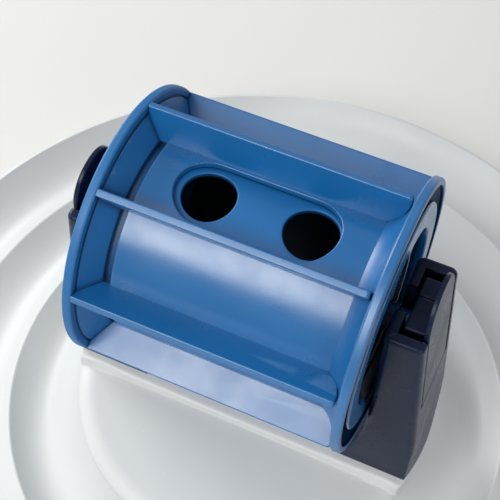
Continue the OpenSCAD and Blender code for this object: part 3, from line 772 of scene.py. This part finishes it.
# A pillar as one closed strip. Its columns run from one slit round the front to the middle of the inside
# and are mirrored for the rear. Its rows run up the outside, over the rounded top, down into the pocket,
# across its floor and down the wall below the tongue. Each place is a rectangle's point moved out by the
# edge's radius.
def makePillar(name, side, node):
    p, counts = pillarSizes, pillarSizes["counts"]
    bend = np.linspace(0, quarterTurn, counts["bend"])[1:]
    ramp = np.linspace(0, 1, counts["ramp"])[1:]
    dip = np.linspace(quarterTurn, 0, counts["dip"])
    shoulders = p["notchMouth"] + np.array(p["mouthWidths"])
    inner = np.concatenate([shoulders, p["notch"] * np.sin(dip)])
    zero = 0 * inner[1:]
    # place across, share of the half width, share from inside to outside, and direction, for each stretch
    # of columns
    sections = [
        ([p["pocketHalf"]], [0], [1], [0]),
        (p["pocketHalf"] * (1 - ramp), ramp, 1 + 0 * ramp, 0 * ramp),
        (0 * bend, 1 + 0 * bend, 1 + 0 * bend, bend),
        (0 * ramp, 1 + 0 * ramp, 1 - ramp, quarterTurn + 0 * ramp),
        (0 * bend, 1 + 0 * bend, 0 * bend, quarterTurn + bend),
        (shoulders[0] * ramp, 1 - ramp, 0 * ramp, np.pi + 0 * ramp),
        (inner[1:], zero, zero, np.pi + zero),
    ]
    fixed, share, out, way = [np.concatenate(part) for part in zip(*sections)]
    drop = np.zeros(len(way))
    drop[-len(inner):] = np.concatenate([p["mouthDrops"], p["top"] - axisHeight + p["notch"] * np.cos(dip)])
    crown = np.full(len(way), p["crown"])
    crown[-len(inner):] = np.concatenate([p["mouthCrowns"], p["notchCrown"] + 0 * dip])
    insideRun = np.tan(np.radians(p["insideSlope"]))
    outsideRun = np.tan(np.radians(p["outsideSlope"]))
    sideRun = np.tan(np.radians(p["sideSlope"]))

    # the outside at a height, drawn in by an amount: the curved foot widens the inside and the hub's wall
    # cuts the outside
    def outside(z, inset):
        below = p["top"] - z
        plain = p["inside"] - below * insideRun
        lowest = p["inside"] - (p["top"] - p["foot"]) * insideRun
        rise = np.clip((z - p["foot"] - p["toe"]) / p["flareHeight"], 0, 1)
        x0 = np.minimum(plain, lowest - p["flare"] * (1 - np.sqrt(1 - (1 - rise) ** 2))) + inset
        x1 = p["outside"] + below * outsideRun - inset
        half = p["half"] + below * sideRun - inset
        r1 = p["edge"] - inset
        r0 = np.where(rise < 1, p["toeEdge"] + (p["edge"] - p["toeEdge"]) * rise ** 2, p["edge"]) - inset
        r = r0 + (r1 - r0) * out
        x = x0 + r0 + out * (x1 - x0 - r0 - r1) + r * np.cos(way)
        y = fixed + share * (half - r) + r * np.sin(way)
        return np.stack([np.minimum(x, np.sqrt(p["footRadius"] ** 2 - y ** 2)), -y, z + 0 * x], -1)

    # the pocket's wall beside the same columns
    def inside(rows):
        y = np.clip(rows[..., 1], -p["pocketHalf"], p["pocketHalf"])
        return np.stack([np.maximum(rows[..., 0], p["pocket"]), y, rows[..., 2]], -1)

    flare = p["flareHeight"] * (1 - np.cos(np.linspace(0, quarterTurn, counts["flare"])))
    foot = p["foot"] + p["toe"] + flare
    toe = p["foot"] + np.array(p["toeRows"])
    low = np.concatenate([toe, foot, np.linspace(foot[-1], p["slitFoot"], counts["lower"])[1:]])[:, None]
    lower = outside(low + 0 * way, 0)
    full = p["top"] - drop - crown
    climb = np.linspace(0, 1, counts["upper"])[1:, None]
    upper = outside(p["slitFoot"] + (full - p["slitFoot"]) * climb, 0)
    over = np.linspace(0, quarterTurn, counts["crest"])[1:, None]
    crest = outside(full + crown * np.sin(over), crown * (1 - np.cos(over)))
    walls = np.concatenate([upper, crest])
    pocket = inside(walls)
    gap = walls[-1] - pocket[-1]
    width = np.linalg.norm(gap, axis=1, keepdims=True)
    lip = np.minimum(p["lip"], width * p["lipShare"])
    down = np.linspace(0, quarterTurn, counts["lip"])[:, None, None]
    fall = np.array([0, 0, 1]) * lip * (1 - np.cos(down))
    edge = pocket[-1] + gap / np.maximum(width, least) * lip * (1 - np.sin(down)) - fall
    pocket[..., 2] = np.minimum(pocket[..., 2], walls[-1, :, 2] - lip[:, 0])
    floorLine = inside(lower[-1:])
    across = np.clip(lower, -p["pocketHalf"], p["pocketHalf"]) * np.array([0, 1, 0])
    outerWall = lower * np.array([0, 0, 1]) + across
    leaning = p["outside"] + (p["top"] - low) * outsideRun
    outerWall[..., 0] = np.minimum(leaning, np.sqrt(p["footRadius"] ** 2 - outerWall[..., 1] ** 2))
    rows = np.concatenate([lower, walls, edge, pocket[::-1], floorLine, outerWall[::-1]])
    grid = np.concatenate([rows, rows[:, -2::-1] * np.array([1, -1, 1])], 1) * np.array([side, 1, 1])
    return makePiece(name, [(grid, True, False)], "base", [node], navyPlastic, sharp=40)


makePillar("leftPillar", -1, "left_pillar")
makePillar("rightPillar", 1, "right_pillar")

# Tongues: a thumb tab that leans in with the pillar's outer face, and the boss that holds the axle's tip
tongueSizes = {
    "width": 21.6, "thick": 1.7, "edge": 0.5, "start": 0.2, "footRound": 0.6, "crownGap": 0.01,
    "bossStart": 48.2, "bossEnd": 55.3, "bossWidth": 18.8, "bossFoot": 113, "bossTop": 132.8,
    "bossEdge": 0.7, "bossRound": 0.8,
    "saddleWidth": 4.9, "saddleDepth": 1, "saddleLean": 0.3, "saddleRound": 0.4,
    "hole": 3.4, "holeDrop": 0.5, "holeDepth": 4.5, "holeEdge": 0.3,
}


# A tongue: the tab is a round-topped plate leaned about its foot. The boss is a block with a shallow
# saddle, and the loops of its inner face run on into the hole for the axle's tip.
def makeTongue(name, side, node):
    t, p = tongueSizes, pillarSizes
    lean = np.radians(p["outsideSlope"])
    climb = p["top"] - p["slitFoot"]
    # middle of the leaning wall at the slit's foot
    seat = p["outside"] + climb * np.tan(lean) - t["thick"] / 2 / np.cos(lean)
    half, low = t["width"] / 2, t["start"]
    top = climb / np.cos(lean) + half
    crown = half - t["crownGap"]
    outline = [[-half, low], [half, low], [half, top], [-half, top]]
    radii = [t["footRound"], t["footRound"], crown, crown]
    tab = plate(outline, radii, t["thick"], t["edge"], steps=24, edgeSteps=5)
    y, along, thick = np.moveaxis(tab, -1, 0)
    x = seat + thick * np.cos(lean) - along * np.sin(lean)
    z = p["slitFoot"] + along * np.cos(lean) + thick * np.sin(lean)
    tab = np.stack([x, y, z], -1)
    w, s, z0, z1 = t["bossWidth"] / 2, t["saddleWidth"] / 2, t["bossFoot"], t["bossTop"]
    mouth, saddle = s + t["saddleLean"], z1 - t["saddleDepth"]
    outline = [[-w, z0], [w, z0], [w, z1], [mouth, z1], [s, saddle], [-s, saddle], [-mouth, z1], [-w, z1]]
    radii = [t["bossRound"]] * 3 + [t["saddleRound"]] * 4 + [t["bossRound"]]
    block = plate(outline, radii, t["bossEnd"] - t["bossStart"], t["bossEdge"], steps=8, edgeSteps=5)
    middle = np.array([0, axisHeight - t["holeDrop"]])
    face = block[-2]
    angle = np.arctan2(face[:, 1] - middle[1], face[:, 0] - middle[0])
    ring = np.column_stack([np.cos(angle), np.sin(angle)])
    wide, chamfer, deep = t["hole"], t["holeEdge"], t["holeDepth"]
    levels = [(wide + chamfer, 0), (wide, chamfer), (wide, deep), (0, deep)]
    hole = np.stack([np.column_stack([middle + r * ring, face[:, 2] + depth]) for r, depth in levels])
    block = np.concatenate([block[:-1], hole])
    boss = np.stack([block[..., 2] + (t["bossStart"] + t["bossEnd"]) / 2, block[..., 0], block[..., 1]], -1)
    sheets = [(part * np.array([side, 1, 1]), False, True) for part in (tab, boss)]
    return makePiece(name, sheets, node, [node], navyPlastic)


makeTongue("leftTongue", -1, "left_tongue")
makeTongue("rightTongue", 1, "right_tongue")
print("pillars and tongues made")

# Feet: a round pad with a softened lower edge and a plug in its post
footSizes = {
    "count": 6, "circle": 113.9, "pad": 6.5, "height": 2.2, "chamfer": 0.55, "plug": 3, "length": 7.2,
    "around": 48,
}


# The feet: one outline from the axis out and back, turned upright and moved to even places on a circle.
def makeFeet():
    f = footSizes
    points = [
        [0, 0], [f["pad"] - f["chamfer"], 0], [f["pad"], f["chamfer"]], [f["pad"], f["height"]],
        [f["plug"], f["height"]], [f["plug"], f["length"]], [0, f["length"]],
    ]
    outline = rounded(points, [0, 0.4, 0.4, 0.3, 0.1, 0.4, 0], steps=5, closed=False)
    foot = turnedUp(outline, np.linspace(0, turn, f["around"], endpoint=False))
    for k in range(f["count"]):
        middle = (k + 0.5) * turn / f["count"]
        grid = foot + f["circle"] * np.array([np.cos(middle), np.sin(middle), 0])
        sheets = [(grid, False, True)]
        makePiece(f"foot{k + 1}", sheets, "base", [f"rubber_foot_{k + 1}"], rubberGrey)


makeFeet()

# The screws are kept from the frame
for name in ("left_pillar_screws", "right_pillar_screws"):
    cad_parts[name].data.materials.clear()
    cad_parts[name].data.materials.append(zincSteel)
print("feet and screws finished")

# Floor, light and camera, in metres
stageLook = {
    "floor": (0.76, 0.755, 0.745), "floorRough": 0.8, "floorSize": 4.0, "world": (0.97, 0.985, 1.0),
    "worldStrength": 0.36, "lampTarget": (0, 0, 0.1),
}
floorMesh = bpy.data.meshes.new("floor")
reach = stageLook["floorSize"]
floorCorners = [(-reach, -reach, 0), (reach, -reach, 0), (reach, reach, 0), (-reach, reach, 0)]
floorMesh.from_pydata(floorCorners, [], [(0, 1, 2, 3)])
floor = bpy.data.objects.new("floor", floorMesh)
bpy.context.scene.collection.objects.link(floor)
floorPaint = bpy.data.materials.new("floorPaint")
floorPaint.use_nodes = True
floorShader = floorPaint.node_tree.nodes["Principled BSDF"]
floorShader.inputs["Base Color"].default_value = (*stageLook["floor"], 1)
floorShader.inputs["Roughness"].default_value = stageLook["floorRough"]
floorMesh.materials.append(floorPaint)

world = bpy.data.worlds.new("studio")
world.use_nodes = True
world.node_tree.nodes["Background"].inputs["Color"].default_value = (*stageLook["world"], 1)
world.node_tree.nodes["Background"].inputs["Strength"].default_value = stageLook["worldStrength"]
bpy.context.scene.world = world

softBoxes = {
    "leftWindow": {"place": (-1.1, 0.05, 0.52), "size": (1.1, 0.9), "watts": 3.8, "tint": (1.0, 0.99, 0.975)},
    "frontPanel": {
        "place": (-0.31, -0.78, 1.05), "size": (0.45, 0.67), "watts": 8.8, "tint": (1.0, 0.985, 0.93)},
    "rearPanel": {"place": (-0.2, 1.3, 1.1), "size": (1.0, 0.6), "watts": 0.4, "tint": (1.0, 0.99, 0.98)},
    "backWindow": {"place": (-0.96, 0.42, 0.6), "size": (0.45, 0.45), "watts": 6, "tint": (0.98, 0.99, 1.0)},
    "rightFill": {"place": (0.95, -0.7, 0.7), "size": (0.8, 0.6), "watts": 2.9, "tint": (0.95, 0.98, 1.0)},
}
for name, box in softBoxes.items():
    data = bpy.data.lights.new(name, "AREA")
    data.shape = "RECTANGLE"
    data.size, data.size_y = box["size"]
    data.energy = box["watts"]
    data.color = box["tint"]
    lamp = bpy.data.objects.new(name, data)
    lamp.location = box["place"]
    lamp.rotation_mode = "QUATERNION"
    lamp.rotation_quaternion = (Vector(stageLook["lampTarget"]) - lamp.location).to_track_quat("-Z", "Y")
    bpy.context.scene.collection.objects.link(lamp)

cameraView = {
    "place": (0.07578, -0.17791, 0.41398), "target": (-0.00613, 0.0069, 0.11598), "roll": math.radians(0.6),
    "focal": 84.15, "sensor": 36, "clip": (0.01, 20),
}
cameraData = bpy.data.cameras.new("camera")
cameraData.lens = cameraView["focal"]
cameraData.sensor_width = cameraView["sensor"]
cameraData.clip_start, cameraData.clip_end = cameraView["clip"]
camera = bpy.data.objects.new("camera", cameraData)
camera.location = cameraView["place"]
camera.rotation_mode = "QUATERNION"
facing = (Vector(cameraView["target"]) - camera.location).to_track_quat("-Z", "Y")
camera.rotation_quaternion = facing @ Quaternion((0, 0, 1), cameraView["roll"])
bpy.context.scene.collection.objects.link(camera)
bpy.context.scene.camera = camera
bpy.context.scene.view_settings.view_transform = "Standard"
print("stage, light and camera set")
